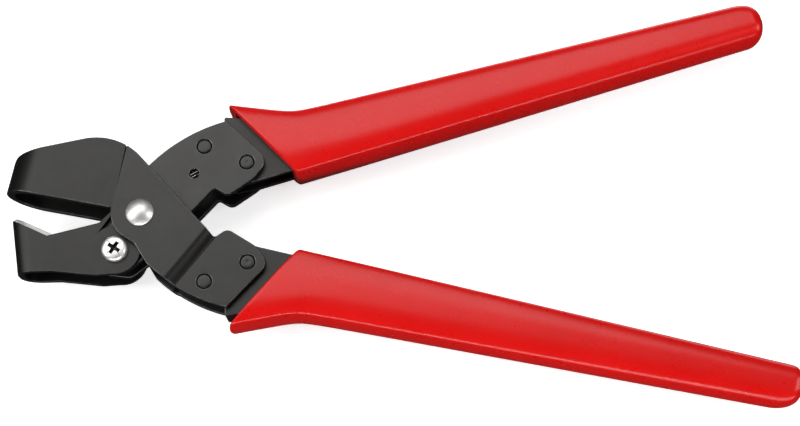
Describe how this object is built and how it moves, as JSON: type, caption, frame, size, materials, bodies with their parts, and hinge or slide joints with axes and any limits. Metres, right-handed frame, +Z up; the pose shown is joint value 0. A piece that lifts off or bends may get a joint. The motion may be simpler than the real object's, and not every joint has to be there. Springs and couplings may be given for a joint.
{
  "type": "notching pliers",
  "caption": "Plier-type notching cutter: a folded U-shaped knife swings up into a hollow U-shaped die, on spring-opened channel handles with plastic grips.",
  "frame": {"origin": "middle of the pivot rivet's flat back face, on which the pliers lie", "axes": "+Z up along the pivot axis, +X from the pivot to between the handles, which mirror each other about the XZ plane"},
  "size_m": [0.2426, 0.1298, 0.0244],
  "materials": {
    "die_steel": "satin black phosphated steel",
    "plate_steel": "satin black phosphated steel",
    "knife_steel": "satin black phosphated steel",
    "core_steel": "satin black phosphated steel",
    "rivet_steel": "satin black phosphated steel",
    "grip_plastic": "semi-gloss red plastic",
    "bright_steel": "bright zinc-plated steel",
    "spacer_steel": "plain steel",
    "spring_steel": "plain steel"
  },
  "bodies": {
    "die_side": {"die_jaw": "die_steel", "front_side_plate": "plate_steel", "back_side_plate": "plate_steel", "lower_handle_core": "core_steel", "lower_grip": "grip_plastic", "lower_rivets": "rivet_steel", "lower_rivet_spacers": "spacer_steel", "pivot_rivet": "bright_steel"},
    "knife_side": {"knife": "knife_steel", "front_lever_plate": "plate_steel", "back_lever_plate": "plate_steel", "knife_spacer": "spacer_steel", "knife_screw": "bright_steel", "knife_nut": "bright_steel", "upper_handle_core": "core_steel", "upper_grip": "grip_plastic", "upper_rivets": "rivet_steel", "upper_rivet_spacers": "spacer_steel", "pivot_bush": "spacer_steel", "opening_spring": "spring_steel"}
  },
  "joints": [
    {"name": "main_pivot", "type": "hinge", "parent": "die_side", "child": "knife_side", "pos_m": [0, 0, 0.012], "axis": [0, 0, -1], "range_deg": [0, 24.4], "stiffness_Nm_per_rad": 0.5, "springref_deg": -28.65, "deforming": ["opening_spring"]}
  ]
}
